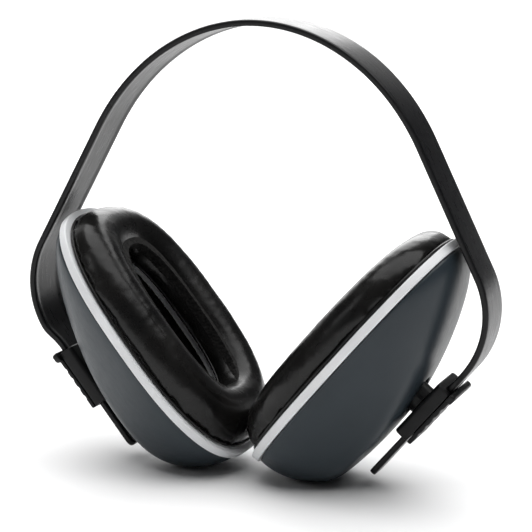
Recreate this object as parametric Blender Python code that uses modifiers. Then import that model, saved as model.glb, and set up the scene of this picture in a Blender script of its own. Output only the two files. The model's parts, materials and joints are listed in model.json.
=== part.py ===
"""Hearing protection earmuffs: a sprung over-head band, two height sliders and two swivelling ear cups.

Metres, +Z up. The closed muffs stand on the lower ends of their cups. The origin is on that surface, in the
middle of the object. +X runs from cup to cup and Y across the band.

The parts at each end of the band are laid out in a side frame: its z runs up the long axis of the cup, its x
points outwards, away from the wearer's head, and its origin is the middle of the cup's rim.
"""

import math

import bmesh
import bpy
from mathutils import Matrix, Vector

MM = 0.001
GAP = 0.3 * MM  # between neighbouring pieces

# Side frame: the cups lean outwards at the top
CUP_LEAN = math.radians(39.4)
CUP_CENTRE_X = 39.4 * MM
CUP_CENTRE_Z = 47.04 * MM

# Headband: a strap along a path of crown arc, straight leg, bend and straight tail
BAND_THICKNESS = 2.3 * MM
BAND_WIDTH_CROWN = 25.0 * MM
BAND_WIDTH_LEG = 22.0 * MM
TAIL_WIDTH = 16.0 * MM
APEX_Z = 163.1 * MM
CROWN_ANGLE = math.radians(63.1)
CROWN_RADIUS_APEX = 57.0 * MM
CROWN_RADIUS_END = 88.0 * MM
BEND_RADIUS = 31.5 * MM
TAIL_X = 31.5 * MM
TAIL_END_Z = -28.0 * MM
SHOULDER_TOP_Z, SHOULDER_BOTTOM_Z = 27.0 * MM, 17.6 * MM  # where the strap narrows to its tail
CROWN_STEPS, BEND_STEPS = 18, 12

# Height slider, a sleeve round the tail with a cover on its outer side
SLIDER_TOP, SLIDER_BOTTOM = 15.0 * MM, -8.5 * MM
SLIDER_HALF_WIDTH = 11.0 * MM
SLIDER_INNER_X, SLIDER_OUTER_X = 27.2 * MM, 34.6 * MM
LIP_TOP, LIP_BOTTOM = 16.2 * MM, 12.6 * MM
LIP_HALF_WIDTH = 12.6 * MM
LIP_OUTER_X = 35.4 * MM
SLIDER_EDGE = 0.6 * MM

# Swivel hub and tilt pin
PIVOT_Z = 3.0 * MM
PIN_X = 20.6 * MM
PIN_RADIUS, PIN_HALF_LENGTH = 1.6 * MM, 9.4 * MM
STEM_RADIUS, NECK_RADIUS, HEAD_RADIUS = 5.6 * MM, 3.4 * MM, 5.0 * MM
HEAD_THICKNESS = 1.2 * MM
RUNNING_FIT = 0.08 * MM
POCKET_CLEARANCE = 1.6 * MM  # under the stem, for the cup to tilt
NECK_ROOT = 1.5 * MM  # how far the neck starts inside the stem

# Cup shell: a hollow, four-sided mound between its rim and a small outer face
CUP_HALF_LENGTH, CUP_HALF_WIDTH = 53.2 * MM, 36.6 * MM
CUP_DEPTH = 24.2 * MM
CUP_CROWN = 2.0 * MM
CUP_WALL = 2.5 * MM
# The outline draws in with the height x over the rim, at each end and side by draw * (x / height)^power
TOP_DRAW, TOP_DRAW_HEIGHT, TOP_DRAW_POWER = 41.4 * MM, 23.4 * MM, 1.75
BOTTOM_DRAW, BOTTOM_DRAW_HEIGHT, BOTTOM_DRAW_POWER = 14.0 * MM, 24.5 * MM, 2.2
SIDE_DRAW, SIDE_DRAW_POWER = 17.2 * MM, 1.15
RIM_POWER, FACE_POWER_GAIN = 2.5, 0.5  # the outline's squareness at the rim, and what it gains at the face
WALL_STEPS = 8
FACE_SHRINKS = (0.12, 0.35, 0.62, 0.85)  # how far each ring of the face has shrunk to its middle
CROWN_SHAPE = 0.7
POCKET_RADIUS, BOSS_RADIUS = 7.4 * MM, 11.4 * MM
POCKET_FLOOR_X, BOSS_FLOOR_X = 13.4 * MM, 11.4 * MM
BOSS_ROOT = 1.0 * MM  # how far the boss stops short of the face, inside the wall

# Foam liner: its outside follows the cup at a clearance, and its hollow narrows in three levels
LINER_LEVELS = (0.0, 0.25, 0.5, 0.72)  # of the cup's depth
LINER_LEAN, LINER_LIFT = 1.16, 1.2 * MM  # the liner's outline is the cup's from this much higher
LINER_CLEARANCE = CUP_WALL + 2 * GAP + 0.8 * MM
HOLLOW_DEPTH = BOSS_FLOOR_X - 2.4 * MM
# Each level: share of the hollow's depth, how much smaller it is than the cup in length and width, its centre
HOLLOW_LEVELS = (
    (0.6, 16.0 * MM, 14.0 * MM, -2.0 * MM),
    (1.0, 21.0 * MM, 18.0 * MM, -4.0 * MM),
)
HOLLOW_MOUTH = (14.0 * MM, 12.0 * MM)

# Seal plate, backplate and cushion, which close the cup towards the head
RING_HALF_LENGTH, RING_HALF_WIDTH, RING_POWER = 54.2 * MM, 37.6 * MM, 2.5
RING_THICKNESS = 3.5 * MM
RING_EDGE = 0.6 * MM
RING_WINDOW_MARGIN = 4.0 * MM  # its hole is this much wider all round than the ear opening
BACKPLATE_THICKNESS = 1.6 * MM
CUSHION_THICKNESS = 11.2 * MM
CUSHION_HALF_LENGTH, CUSHION_HALF_WIDTH = 51.8 * MM, 36.4 * MM
CUSHION_EDGE = 1.0 * MM  # the straight part of its side wall
SHOULDER_LENGTH, SHOULDER_WIDTH = 22.0 * MM, 10.0 * MM  # how far it rounds in at its ends and sides
SHOULDER_STEPS = 5
CUSHION_SKIN = 1.2 * MM
CUSHION_FACE_SKIN = 2.2 * MM  # over the foam, at the face
CORE_HALF_LENGTH, CORE_HALF_WIDTH = 40.3 * MM, 30.4 * MM
EAR_HALF_LENGTH, EAR_HALF_WIDTH = 30.0 * MM, 14.0 * MM

SECTION_POINTS = 40
BORE_SEGMENTS = 28
CUT_BEYOND = 5.0 * MM  # how far a cutter runs past what it cuts

COLOURS = {
    "band": ((0.012, 0.012, 0.014), 0.35),
    "slider": ((0.014, 0.014, 0.016), 0.45),
    "hub": ((0.02, 0.02, 0.022), 0.5),
    "pin": ((0.45, 0.45, 0.46), 0.3),
    "shell": ((0.055, 0.072, 0.095), 0.42),
    "plate": ((0.52, 0.53, 0.54), 0.5),
    "backplate": ((0.03, 0.03, 0.032), 0.6),
    "skin": ((0.01, 0.01, 0.011), 0.25),
    "foam": ((0.05, 0.05, 0.052), 0.95),
}


def clear_scene():
    for obj in list(bpy.data.objects):
        bpy.data.objects.remove(obj, do_unlink=True)


def new_collection(name):
    collection = bpy.data.collections.new(name)
    bpy.context.scene.collection.children.link(collection)
    return collection


def material(name, kind):
    """A Principled material in the colour and roughness of its kind, one for each object."""
    colour, roughness = COLOURS[kind]
    made = bpy.data.materials.new(name)
    made.use_nodes = True
    shader = made.node_tree.nodes["Principled BSDF"]
    shader.inputs["Base Color"].default_value = (*colour, 1)
    shader.inputs["Roughness"].default_value = roughness
    shader.inputs["Metallic"].default_value = 1.0 if kind == "pin" else 0.0
    return made


def add_object(name, bm, collection, anchor=None, kind=None):
    """Makes an object of a bmesh that is laid out in its anchor's frame."""
    bmesh.ops.recalc_face_normals(bm, faces=bm.faces)
    mesh = bpy.data.meshes.new(name)
    bm.to_mesh(mesh)
    bm.free()
    obj = bpy.data.objects.new(name, mesh)
    collection.objects.link(obj)
    obj.parent = anchor
    if kind:
        mesh.materials.append(material(name, kind))
    return obj


def soften(obj, width, segments=2):
    bevel = obj.modifiers.new("edges", "BEVEL")
    bevel.width = width
    bevel.segments = segments
    bevel.limit_method = "ANGLE"
    bevel.angle_limit = math.radians(40)


def smooth(obj, angle=35):
    obj.data.shade_smooth()
    obj.data.set_sharp_from_angle(angle=math.radians(angle))


def combine(obj, other, operation="DIFFERENCE"):
    """Cuts the other object from this one, or joins it on, with a live Boolean."""
    boolean = obj.modifiers.new(operation.lower(), "BOOLEAN")
    boolean.operation = operation
    boolean.solver = "EXACT"
    boolean.object = other
    other.hide_render = True
    other.display_type = "WIRE"


def box(low, high):
    bm = bmesh.new()
    bmesh.ops.create_cube(bm, size=1)
    size = Vector(high) - Vector(low)
    middle = (Vector(high) + Vector(low)) / 2
    place = Matrix.Translation(middle) @ Matrix.Diagonal(size).to_4x4()
    bmesh.ops.transform(bm, matrix=place, verts=bm.verts)
    return bm


def cylinder(start, end, radius, segments=24):
    """A closed cylinder from one point to another."""
    bm = bmesh.new()
    axis = Vector(end) - Vector(start)
    turn = Vector((0, 0, 1)).rotation_difference(axis).to_matrix().to_4x4()
    bmesh.ops.create_cone(
        bm, cap_ends=True, segments=segments, radius1=radius, radius2=radius, depth=axis.length
    )
    middle = (Vector(start) + Vector(end)) / 2
    bmesh.ops.transform(bm, matrix=Matrix.Translation(middle) @ turn, verts=bm.verts)
    return bm


def superellipse(half_length, half_width, power, centre=0.0):
    """Points (y, z) round a rounded rectangle |z/a|^n + |y/b|^n = 1, evenly spread in angle."""
    points = []
    for i in range(SECTION_POINTS):
        angle = 2 * math.pi * i / SECTION_POINTS
        c, s = math.cos(angle), math.sin(angle)
        z = half_length * math.copysign(abs(c) ** (2 / power), c)
        y = half_width * math.copysign(abs(s) ** (2 / power), s)
        points.append((y, centre + z))
    return points


def skin_sections(sections, cap_start=True, cap_end=True):
    """A bmesh through a stack of (x, outline) sections that all have the same number of points."""
    bm = bmesh.new()
    rings = [[bm.verts.new((x, y, z)) for y, z in outline] for x, outline in sections]
    for low, high in zip(rings, rings[1:]):
        for i in range(SECTION_POINTS):
            j = (i + 1) % SECTION_POINTS
            bm.faces.new((low[i], low[j], high[j], high[i]))
    if cap_start:
        bm.faces.new(rings[0])
    if cap_end:
        bm.faces.new(rings[-1])
    return bm


def plate(x_low, x_high, half_length, half_width, edge=0.0):
    """A flat superellipse plate between two x planes, with its rim chamfered by edge."""
    inset = superellipse(half_length - edge, half_width - edge, RING_POWER)
    full = superellipse(half_length, half_width, RING_POWER)
    if not edge:
        return skin_sections([(x_low, full), (x_high, full)])
    sections = [(x_low, inset), (x_low + edge, full), (x_high - edge, full), (x_high, inset)]
    return skin_sections(sections)


def leg_heading():
    """The way the straight leg runs, down and outwards."""
    return Vector((math.cos(CROWN_ANGLE), 0, -math.sin(CROWN_ANGLE)))


def crown_points():
    """Points of the crown arc from the apex, whose curvature falls steadily along its length."""
    tight, slack = 1 / CROWN_RADIUS_APEX, 1 / CROWN_RADIUS_END
    length = 2 * CROWN_ANGLE / (tight + slack)
    step = length / CROWN_STEPS
    point, points = Vector((0, 0, APEX_Z)), [Vector((0, 0, APEX_Z))]
    for i in range(CROWN_STEPS):
        s = (i + 0.5) * step
        heading = tight * s + (slack - tight) * s * s / (2 * length)
        point = point + step * Vector((math.cos(heading), 0, -math.sin(heading)))
        points.append(point)
    return points


def band_points():
    """The strap's middle line, from the apex to the end of the right tail.

    The leg leaves the crown straight. It meets the tail's line in a bend of one radius. The last points are
    the two ends of the shoulder and the tail's end.
    """
    outwards, upwards = side_axes()
    crown = crown_points()
    heading = leg_heading()
    from_cup = crown[-1] - Vector((CUP_CENTRE_X, 0, CUP_CENTRE_Z))
    to_tail_line = (TAIL_X - from_cup.dot(outwards)) / heading.dot(outwards)
    turn = heading.angle(-upwards)
    tangent = BEND_RADIUS * math.tan(turn / 2)
    bend_start = crown[-1] + heading * (to_tail_line - tangent)
    inwards = Vector((-math.sin(CROWN_ANGLE), 0, -math.cos(CROWN_ANGLE)))
    bend_centre = bend_start + inwards * BEND_RADIUS
    points = crown + [bend_start]
    for i in range(1, BEND_STEPS + 1):
        angle = turn * i / BEND_STEPS
        points.append(bend_centre + BEND_RADIUS * (math.sin(angle) * heading - math.cos(angle) * inwards))
    tail_line = Vector((CUP_CENTRE_X, 0, CUP_CENTRE_Z)) + outwards * TAIL_X
    heights = [z for z in (SHOULDER_TOP_Z, SHOULDER_BOTTOM_Z) if z < (points[-1] - tail_line).dot(upwards)]
    return points + [tail_line + upwards * z for z in heights + [TAIL_END_Z]]


def side_axes():
    """The right side frame's outward and upward directions."""
    outwards = Vector((math.cos(CUP_LEAN), 0, -math.sin(CUP_LEAN)))
    upwards = Vector((math.sin(CUP_LEAN), 0, math.cos(CUP_LEAN)))
    return outwards, upwards


def band_half_widths(points):
    """Half the strap's width at each point: a taper down the crown, then a shoulder above the tail."""
    steps = [(b - a).length for a, b in zip(points, points[1:])]
    distances = [sum(steps[:i]) for i in range(len(points))]
    crown_length = sum(steps[:CROWN_STEPS])
    shoulder_start = distances[-1] - (SHOULDER_TOP_Z - TAIL_END_Z)
    shoulder_length = SHOULDER_TOP_Z - SHOULDER_BOTTOM_Z
    widths = []
    for distance in distances:
        down_crown = min(distance / crown_length, 1.0)
        down_shoulder = min(max((distance - shoulder_start) / shoulder_length, 0.0), 1.0)
        width = BAND_WIDTH_CROWN + (BAND_WIDTH_LEG - BAND_WIDTH_CROWN) * down_crown
        widths.append((width + (TAIL_WIDTH - width) * down_shoulder) / 2)
    return widths


def headband_half(name, collection, mirrored):
    """One half of the strap: an edge drawn across the path, widened by its taper, with a wall's thickness."""
    points = band_points()
    widths = band_half_widths(points)
    points[0] = points[0] + Vector((GAP / 2, 0, 0))
    bm = bmesh.new()
    verts = [bm.verts.new(p) for p in points]
    edges = [bm.edges.new(pair) for pair in zip(verts, verts[1:])]
    copied = bmesh.ops.extrude_edge_only(bm, edges=edges)["geom"]
    far = [item for item in copied if isinstance(item, bmesh.types.BMVert)]
    for vert, width in zip(verts, widths):
        vert.co.y = -width
    for vert in far:
        gaps = [(point - Vector((vert.co.x, 0, vert.co.z))).length for point in points]
        vert.co.y = widths[gaps.index(min(gaps))]
    if mirrored:
        bmesh.ops.rotate(bm, cent=(0, 0, 0), matrix=Matrix.Rotation(math.pi, 3, "Z"), verts=bm.verts)
    strap = add_object(name, bm, collection, kind="band")
    wall = strap.modifiers.new("wall", "SOLIDIFY")
    wall.thickness = BAND_THICKNESS
    wall.offset = 0
    wall.use_even_offset = True
    smooth(strap)
    return strap


def side_anchor(side, turned):
    """Empties on the joints of one side: the side frame itself, the swivel's axis and the tilt pin."""
    anchors = {}
    for role, place in (("slider", (0, 0, 0)), ("swivel", (0, 0, PIVOT_Z)), ("tilt", (PIN_X, 0, PIVOT_Z))):
        anchor = bpy.data.objects.new(f"{role}_axis_{side}", None)
        bpy.context.scene.collection.objects.link(anchor)
        if role == "slider":
            anchor.location = (-CUP_CENTRE_X if turned else CUP_CENTRE_X, 0, CUP_CENTRE_Z)
            anchor.rotation_euler = (0, CUP_LEAN, math.pi if turned else 0)
        else:
            anchor.parent = anchors["slider"]
            anchor.location = place
        anchors[role] = anchor
    return anchors


def shifted(bm, anchor):
    """Moves a bmesh laid out in the side frame into the frame of one of its anchors."""
    if anchor.parent:
        bmesh.ops.translate(bm, vec=-anchor.location, verts=bm.verts)
    return bm


def on_pivot(x):
    """The point of the swivel's axis at a height x over the rim."""
    return (x, 0, PIVOT_Z)


def slider_sleeve(side, parts, cutters, anchor):
    """The channel that wraps the tail's inner face and edges, bored for the swivel hub's neck and head."""
    floor_top = TAIL_X - BAND_THICKNESS / 2 - GAP
    cover_face = TAIL_X + BAND_THICKNESS / 2 + GAP
    half_slot = TAIL_WIDTH / 2 + GAP
    low = (SLIDER_INNER_X, -SLIDER_HALF_WIDTH, SLIDER_BOTTOM)
    high = (cover_face - GAP, SLIDER_HALF_WIDTH, SLIDER_TOP)
    sleeve = add_object(f"slider_sleeve_{side}", box(low, high), parts, anchor, "slider")
    slot_low = (floor_top, -half_slot, SLIDER_BOTTOM - CUT_BEYOND)
    slot = box(slot_low, (cover_face + CUT_BEYOND, half_slot, SLIDER_TOP + CUT_BEYOND))
    combine(sleeve, add_object(f"tail_slot_{side}", slot, cutters, anchor))
    beyond = on_pivot(floor_top + CUT_BEYOND)
    neck = cylinder(on_pivot(SLIDER_INNER_X - CUT_BEYOND), beyond, NECK_RADIUS + GAP)
    combine(sleeve, add_object(f"neck_hole_{side}", neck, cutters, anchor))
    seat = floor_top - HEAD_THICKNESS - GAP
    head = cylinder(on_pivot(seat), beyond, HEAD_RADIUS + GAP)
    combine(sleeve, add_object(f"head_seat_{side}", head, cutters, anchor))
    smooth(sleeve)


def slider_cover(side, parts, cutters, anchor):
    """The outer plate of the slider, with the wider finger lip across its top."""
    face = TAIL_X + BAND_THICKNESS / 2 + GAP
    low, high = (face, -SLIDER_HALF_WIDTH, SLIDER_BOTTOM), (SLIDER_OUTER_X, SLIDER_HALF_WIDTH, SLIDER_TOP)
    cover = add_object(f"slider_cover_{side}", box(low, high), parts, anchor, "slider")
    soften(cover, SLIDER_EDGE)
    lip = box((face + GAP, -LIP_HALF_WIDTH, LIP_BOTTOM), (LIP_OUTER_X, LIP_HALF_WIDTH, LIP_TOP))
    lip = add_object(f"finger_lip_{side}", lip, cutters, anchor)
    soften(lip, SLIDER_EDGE)
    combine(cover, lip, "UNION")
    smooth(cover)


def swivel_hub(side, parts, cutters, anchor):
    """A stem in the cup's pocket, with a neck through the sleeve, a snap head and an eye for the pin."""
    floor_top = TAIL_X - BAND_THICKNESS / 2 - GAP
    stem = cylinder(on_pivot(POCKET_FLOOR_X + POCKET_CLEARANCE), on_pivot(SLIDER_INNER_X - GAP), STEM_RADIUS)
    hub = add_object(f"swivel_hub_{side}", shifted(stem, anchor), parts, anchor, "hub")
    neck = cylinder(on_pivot(SLIDER_INNER_X - NECK_ROOT), on_pivot(floor_top - GAP / 2), NECK_RADIUS)
    combine(hub, add_object(f"hub_neck_{side}", shifted(neck, anchor), cutters, anchor), "UNION")
    head = cylinder(on_pivot(floor_top - HEAD_THICKNESS), on_pivot(floor_top - GAP / 2), HEAD_RADIUS)
    combine(hub, add_object(f"hub_head_{side}", shifted(head, anchor), cutters, anchor), "UNION")
    reach = 2 * STEM_RADIUS
    eye = cylinder((PIN_X, -reach, PIVOT_Z), (PIN_X, reach, PIVOT_Z), PIN_RADIUS + RUNNING_FIT)
    combine(hub, add_object(f"hub_eye_{side}", shifted(eye, anchor), cutters, anchor))
    smooth(hub)


def pivot_pin(side, parts, anchor):
    """The steel pin across the pocket that the cup tilts on."""
    pin = cylinder((PIN_X, -PIN_HALF_LENGTH, PIVOT_Z), (PIN_X, PIN_HALF_LENGTH, PIVOT_Z), PIN_RADIUS)
    smooth(add_object(f"pivot_pin_{side}", shifted(pin, anchor), parts, anchor, "pin"))


def cup_section(x, inset=0.0):
    """The mound's outline at a height x over its rim: it draws in most at the top, least at the bottom."""
    upper = CUP_HALF_LENGTH - TOP_DRAW * (x / TOP_DRAW_HEIGHT) ** TOP_DRAW_POWER
    lower = BOTTOM_DRAW * (x / BOTTOM_DRAW_HEIGHT) ** BOTTOM_DRAW_POWER - CUP_HALF_LENGTH
    half_width = CUP_HALF_WIDTH - SIDE_DRAW * (x / CUP_DEPTH) ** SIDE_DRAW_POWER
    power = RIM_POWER + FACE_POWER_GAIN * x / CUP_DEPTH
    half_length = (upper - lower) / 2 - inset
    return superellipse(half_length, half_width - inset, power, (upper + lower) / 2)


def cup_sections():
    """Sections from a skirt below the rim up the wall and over the crowned outer face."""
    sections = [(-2 * CUP_WALL, cup_section(0))]
    for step in range(WALL_STEPS + 1):
        x = step * CUP_DEPTH / WALL_STEPS
        sections.append((x, cup_section(x)))
    top = cup_section(CUP_DEPTH)
    centre = sum(z for _, z in top) / len(top)
    for shrink in FACE_SHRINKS:
        x = CUP_DEPTH + CUP_CROWN * math.sin(math.pi / 2 * shrink**CROWN_SHAPE)
        left = 1 - shrink
        sections.append((x, [(y * left, centre + (z - centre) * left) for y, z in top]))
    return sections


def cup_shell(side, parts, cutters, anchor):
    """The hollow cup, with a boss inside its outer face and the pocket and pin holes in that boss."""
    mound = skin_sections(cup_sections(), cap_start=False)
    shell = add_object(f"cup_shell_{side}", shifted(mound, anchor), parts, anchor, "shell")
    wall = shell.modifiers.new("wall", "SOLIDIFY")
    wall.thickness = CUP_WALL
    wall.offset = -1
    wall.use_even_offset = True
    reach = 2 * CUP_HALF_LENGTH
    skirt = box((-reach, -reach, -reach), (0, reach, reach))
    combine(shell, add_object(f"cup_skirt_{side}", shifted(skirt, anchor), cutters, anchor))
    boss = cylinder(on_pivot(BOSS_FLOOR_X), on_pivot(CUP_DEPTH - BOSS_ROOT), BOSS_RADIUS, BORE_SEGMENTS)
    combine(shell, add_object(f"cup_boss_{side}", shifted(boss, anchor), cutters, anchor), "UNION")
    mouth = CUP_DEPTH + CUP_CROWN + CUT_BEYOND
    pocket = cylinder(on_pivot(POCKET_FLOOR_X), on_pivot(mouth), POCKET_RADIUS, BORE_SEGMENTS)
    combine(shell, add_object(f"cup_pocket_{side}", shifted(pocket, anchor), cutters, anchor))
    half_hole = PIN_HALF_LENGTH + GAP
    hole = cylinder((PIN_X, -half_hole, PIVOT_Z), (PIN_X, half_hole, PIVOT_Z), PIN_RADIUS + GAP)
    combine(shell, add_object(f"pin_hole_{side}", shifted(hole, anchor), cutters, anchor))
    smooth(shell)


def foam_liner(side, parts, cutters, anchor):
    """The soft absorber that lines the cup: a dished block, hollowed for the ear and clear of the boss."""
    sections = []
    for level in LINER_LEVELS:
        x = max(level * CUP_DEPTH, GAP)
        sections.append((x, cup_section(x * LINER_LEAN + LINER_LIFT, LINER_CLEARANCE)))
    liner = add_object(f"foam_liner_{side}", shifted(skin_sections(sections), anchor), parts, anchor, "foam")
    shorter, narrower = HOLLOW_MOUTH
    mouth = superellipse(CUP_HALF_LENGTH - shorter, CUP_HALF_WIDTH - narrower, RING_POWER)
    levels = [(GAP - CUT_BEYOND, mouth)]
    for share, shorter, narrower, centre in HOLLOW_LEVELS:
        outline = superellipse(CUP_HALF_LENGTH - shorter, CUP_HALF_WIDTH - narrower, RING_POWER, centre)
        levels.append((HOLLOW_DEPTH * share, outline))
    hollow = skin_sections(levels)
    combine(liner, add_object(f"liner_hollow_{side}", shifted(hollow, anchor), cutters, anchor))
    relief = cylinder(
        on_pivot(BOSS_FLOOR_X - 2 * GAP), on_pivot(CUP_DEPTH), BOSS_RADIUS + 2 * GAP, BORE_SEGMENTS
    )
    combine(liner, add_object(f"boss_relief_{side}", shifted(relief, anchor), cutters, anchor))
    smooth(liner)


def ear_window(side, role, x_low, x_high, margin, cutters, anchor):
    """The oval through-hole over the ear, wider than the cushion's own opening by a margin."""
    hole = plate(x_low, x_high, EAR_HALF_LENGTH + margin, EAR_HALF_WIDTH + margin)
    return add_object(f"{role}_{side}", shifted(hole, anchor), cutters, anchor)


def seal_plate(side, parts, cutters, anchor):
    """The light ring plate that snaps into the rim of the cup."""
    ring = plate(-RING_THICKNESS, -GAP, RING_HALF_LENGTH, RING_HALF_WIDTH, RING_EDGE)
    seal = add_object(f"seal_plate_{side}", shifted(ring, anchor), parts, anchor, "plate")
    low = -RING_THICKNESS - CUT_BEYOND
    combine(seal, ear_window(side, "seal_window", low, CUT_BEYOND, RING_WINDOW_MARGIN, cutters, anchor))
    smooth(seal)


def cushion_sections(back):
    """The cushion's outside: a short straight wall, then a quarter-ellipse shoulder to its face."""
    height = CUSHION_THICKNESS - CUSHION_EDGE
    sections = [(back, superellipse(CUSHION_HALF_LENGTH, CUSHION_HALF_WIDTH, RING_POWER))]
    for i in range(SHOULDER_STEPS + 1):
        angle = math.pi / 2 * i / SHOULDER_STEPS
        drawn_in = 1 - math.cos(angle)
        half_length = CUSHION_HALF_LENGTH - SHOULDER_LENGTH * drawn_in
        half_width = CUSHION_HALF_WIDTH - SHOULDER_WIDTH * drawn_in
        x = back - CUSHION_EDGE - height * math.sin(angle)
        sections.append((x, superellipse(half_length, half_width, RING_POWER)))
    return sections


def cushion_pieces(side, parts, cutters, anchor):
    """The clip-in cushion: a stiff backplate, a foam ring and the soft skin round it, open at the back."""
    back = -RING_THICKNESS - GAP
    front = back - CUSHION_THICKNESS
    margin = CUSHION_SKIN + GAP
    low, high = front - CUT_BEYOND, back + CUT_BEYOND
    outside = shifted(skin_sections(cushion_sections(back)), anchor)
    skin = add_object(f"ear_cushion_{side}", outside, parts, anchor, "skin")
    combine(skin, ear_window(side, "ear_opening", low, high, 0, cutters, anchor))
    core_low, core_high = front + CUSHION_FACE_SKIN, back - BACKPLATE_THICKNESS - GAP
    cavity = plate(core_low - GAP, high, CORE_HALF_LENGTH + GAP, CORE_HALF_WIDTH + GAP)
    cavity_cutter = add_object(f"cushion_cavity_{side}", shifted(cavity, anchor), cutters, anchor)
    core = ear_window(side, "cavity_core", low - CUT_BEYOND, high + CUT_BEYOND, margin, cutters, anchor)
    combine(cavity_cutter, core)
    combine(skin, cavity_cutter)
    smooth(skin)

    layers = (
        ("cushion_foam", core_low, core_high, "foam"),
        ("cushion_backplate", core_high + GAP, back, "backplate"),
    )
    for role, bottom, top, kind in layers:
        layer = plate(bottom, top, CORE_HALF_LENGTH, CORE_HALF_WIDTH)
        layer = add_object(f"{role}_{side}", shifted(layer, anchor), parts, anchor, kind)
        window = ear_window(side, f"{role}_window", low, high, margin + GAP, cutters, anchor)
        combine(layer, window)
        smooth(layer)


def build_side(side, turned, parts, cutters):
    anchors = side_anchor(side, turned)
    slider_sleeve(side, parts, cutters, anchors["slider"])
    slider_cover(side, parts, cutters, anchors["slider"])
    swivel_hub(side, parts, cutters, anchors["swivel"])
    pivot_pin(side, parts, anchors["tilt"])
    cup_shell(side, parts, cutters, anchors["tilt"])
    foam_liner(side, parts, cutters, anchors["tilt"])
    seal_plate(side, parts, cutters, anchors["tilt"])
    cushion_pieces(side, parts, cutters, anchors["tilt"])


clear_scene()
parts_collection = new_collection("hearing_protection_earmuffs")
cutter_collection = new_collection("cutters")
for side_name, is_left in (("right", False), ("left", True)):
    headband_half(f"headband_{side_name}", parts_collection, is_left)
    build_side(side_name, is_left, parts_collection, cutter_collection)
bpy.context.view_layer.update()
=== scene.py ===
"""Hearing protection earmuffs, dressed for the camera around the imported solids."""
import json
import math

import bmesh
import bpy
import numpy as np
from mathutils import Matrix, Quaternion, Vector


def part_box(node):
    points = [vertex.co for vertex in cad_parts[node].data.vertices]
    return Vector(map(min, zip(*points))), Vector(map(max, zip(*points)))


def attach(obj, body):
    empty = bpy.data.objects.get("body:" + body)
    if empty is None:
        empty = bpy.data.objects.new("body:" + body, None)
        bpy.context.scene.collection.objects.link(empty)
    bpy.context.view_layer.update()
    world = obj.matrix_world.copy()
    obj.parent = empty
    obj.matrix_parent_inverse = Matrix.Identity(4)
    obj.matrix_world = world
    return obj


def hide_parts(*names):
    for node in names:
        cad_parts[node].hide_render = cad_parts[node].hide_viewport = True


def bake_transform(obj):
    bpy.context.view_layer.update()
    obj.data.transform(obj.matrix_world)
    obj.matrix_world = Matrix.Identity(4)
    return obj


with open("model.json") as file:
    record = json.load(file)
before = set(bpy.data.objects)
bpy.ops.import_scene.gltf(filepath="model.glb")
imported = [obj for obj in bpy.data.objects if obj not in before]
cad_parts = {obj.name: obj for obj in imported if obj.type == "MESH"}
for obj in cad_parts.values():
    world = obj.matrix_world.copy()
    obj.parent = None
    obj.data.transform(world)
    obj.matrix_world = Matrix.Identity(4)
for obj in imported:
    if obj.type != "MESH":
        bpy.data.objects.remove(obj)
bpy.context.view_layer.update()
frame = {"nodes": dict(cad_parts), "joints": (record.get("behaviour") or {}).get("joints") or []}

# Camera
# A long lens at a low three-quarter angle, from the front and a little to the right of the muffs.
LOOK_AT = Vector((0.0, 0.0, 0.0798))
CAMERA_TURN, CAMERA_LIFT = math.radians(19.38), math.radians(9.71)
CAMERA_ROLL = math.radians(1.4)
CAMERA_DISTANCE = 0.7157
CAMERA_LENS = 134.6
CAMERA_SHIFT_X, CAMERA_SHIFT_Y = 0.0097, -0.0221
camera = bpy.data.objects.new("camera", bpy.data.cameras.new("camera"))
bpy.context.scene.collection.objects.link(camera)
camera_back = Vector((
    math.sin(CAMERA_TURN) * math.cos(CAMERA_LIFT),
    -math.cos(CAMERA_TURN) * math.cos(CAMERA_LIFT),
    math.sin(CAMERA_LIFT),
))
camera.location = LOOK_AT + camera_back * CAMERA_DISTANCE
camera.rotation_mode = "QUATERNION"
camera.rotation_quaternion = (-camera_back).to_track_quat("-Z", "Y") @ Quaternion((0, 0, 1), CAMERA_ROLL)
camera.data.lens = CAMERA_LENS
camera.data.shift_x, camera.data.shift_y = CAMERA_SHIFT_X, CAMERA_SHIFT_Y
bpy.context.scene.camera = camera

# Studio
# A wide pale floor under a broad overhead light, with one large soft panel behind the left cup, a small one
# in front of it, and a dim room that is paler behind the left cup. The camera sees the room as white.
FLOOR_HALF = 9.0
OVERHEAD_POWER, OVERHEAD_SPREAD = 4.1, math.radians(85)
OVERHEAD_TURN = (math.radians(-7), math.radians(2), 0)
PALE_DIRECTION = (-0.5, 0.75, 0.43)
PALE_FROM, PALE_FULL = 0.75, 0.91
ROOM_DIM, ROOM_PALE, ROOM_SEEN = (0.045, 0.046, 0.049, 1), (0.9, 0.9, 0.9, 1), (1.1, 1.1, 1.1, 1)
bpy.context.scene.view_settings.view_transform = "Standard"


def principled(name, **values):
    """A new material with its Principled shader's sockets set by name, its nodes and its links."""
    made = bpy.data.materials.new(name)
    made.use_nodes = True
    shader = made.node_tree.nodes["Principled BSDF"]
    for socket, value in values.items():
        shader.inputs[socket.replace("_", " ")].default_value = value
    return made, made.node_tree.nodes, made.node_tree.links, shader


def panel_light(name, place, aim, size, power):
    """A rectangular soft light at a place, turned towards an aim."""
    light = bpy.data.lights.new(name, "AREA")
    light.shape = "RECTANGLE"
    light.size, light.size_y = size
    light.energy = power
    lamp = bpy.data.objects.new(name, light)
    bpy.context.scene.collection.objects.link(lamp)
    lamp.location = place
    lamp.rotation_mode = "QUATERNION"
    lamp.rotation_quaternion = (Vector(aim) - Vector(place)).to_track_quat("-Z", "Y")
    lamp.visible_camera = False


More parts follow.
